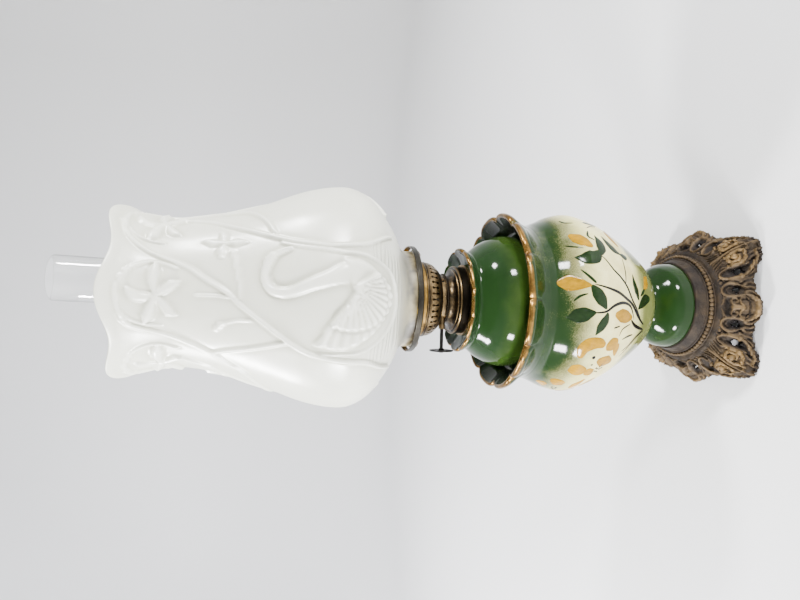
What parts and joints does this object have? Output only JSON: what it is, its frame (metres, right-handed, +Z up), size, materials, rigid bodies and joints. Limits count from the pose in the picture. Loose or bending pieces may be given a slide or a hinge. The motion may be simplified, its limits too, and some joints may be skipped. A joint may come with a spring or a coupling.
{
  "type": "table oil lamp",
  "caption": "Table oil lamp with a pierced square cast foot, earthenware vase and drop-in font, round-wick burner, frosted glass shade and glass chimney.",
  "frame": {"origin": "middle of the foot, on the surface that the lamp stands on", "axes": "+Z up along the lamp's axis, -Y towards the front swan panel, hand wheel towards -X"},
  "size_m": [0.1932, 0.193, 0.6213],
  "materials": {
    "cast_metal": "brown bronzed patina, golden on the high spots",
    "dark_steel": "darkened with age",
    "steel": "plain",
    "vase_glaze": "gloss glaze, green shading and painted flowers, gilt rim",
    "leather": "plain",
    "font_glaze": "green gloss glaze, gilt rim",
    "plaster": "plain",
    "brass": "aged, brown in the recesses",
    "dark_brass": "nearly black patina",
    "ring_metal": "grey-brown patina, satin",
    "clip_brass": "bright",
    "cotton": "woven",
    "frosted_glass": "acid-frosted, satin",
    "clear_glass": "clear, polished"
  },
  "bodies": {
    "stand": {"base_casting": "cast_metal", "rod_washer": "dark_steel", "rod_nut": "dark_steel", "tie_rod": "steel", "vase_body": "vase_glaze", "floor_washer": "leather", "floor_nut": "dark_steel"},
    "font": {"font": "font_glaze", "collar_cement": "plaster", "collar_trim": "brass", "font_collar": "dark_brass"},
    "burner": {"burner_base": "brass", "burner_basket": "brass", "chimney_gallery": "brass", "wick_tube_outer": "brass", "wick_tube_inner": "brass", "spindle_gland": "brass", "shade_ring": "ring_metal", "shade_clips": "clip_brass", "clip_rivets": "clip_brass"},
    "wick_key": {"wick_spindle": "dark_steel", "spur_wheels": "steel", "hand_wheel": "dark_steel"},
    "wick": {"wick": "cotton"},
    "shade": {"shade": "frosted_glass"},
    "chimney": {"chimney": "clear_glass"}
  },
  "joints": [
    {"name": "font_lift", "type": "slide", "parent": "stand", "child": "font", "axis": [0, 0, 1], "range_m": [0, 0.1]},
    {"name": "burner_lift", "type": "slide", "parent": "font", "child": "burner", "axis": [0, 0, 1], "range_m": [0, 0.13]},
    {"name": "spindle_turn", "type": "hinge", "parent": "burner", "child": "wick_key", "pos_m": [0, -0.0144, 0.2941], "axis": [1, 0, 0], "range_deg": [-190, 130]},
    {"name": "wick_raise", "type": "slide", "parent": "burner", "child": "wick", "axis": [0, 0, 1], "range_m": [-0.012, 0.008]},
    {"name": "shade_lift", "type": "slide", "parent": "burner", "child": "shade", "axis": [0, 0, 1], "range_m": [0, 0.31]},
    {"name": "chimney_lift", "type": "slide", "parent": "burner", "child": "chimney", "axis": [0.0332, 0, 0.9995], "range_m": [0, 0.3]}
  ],
  "couplings": [
    {"joint": "wick_raise", "follows": "spindle_turn", "m_per_rad": 0.0034}
  ]
}
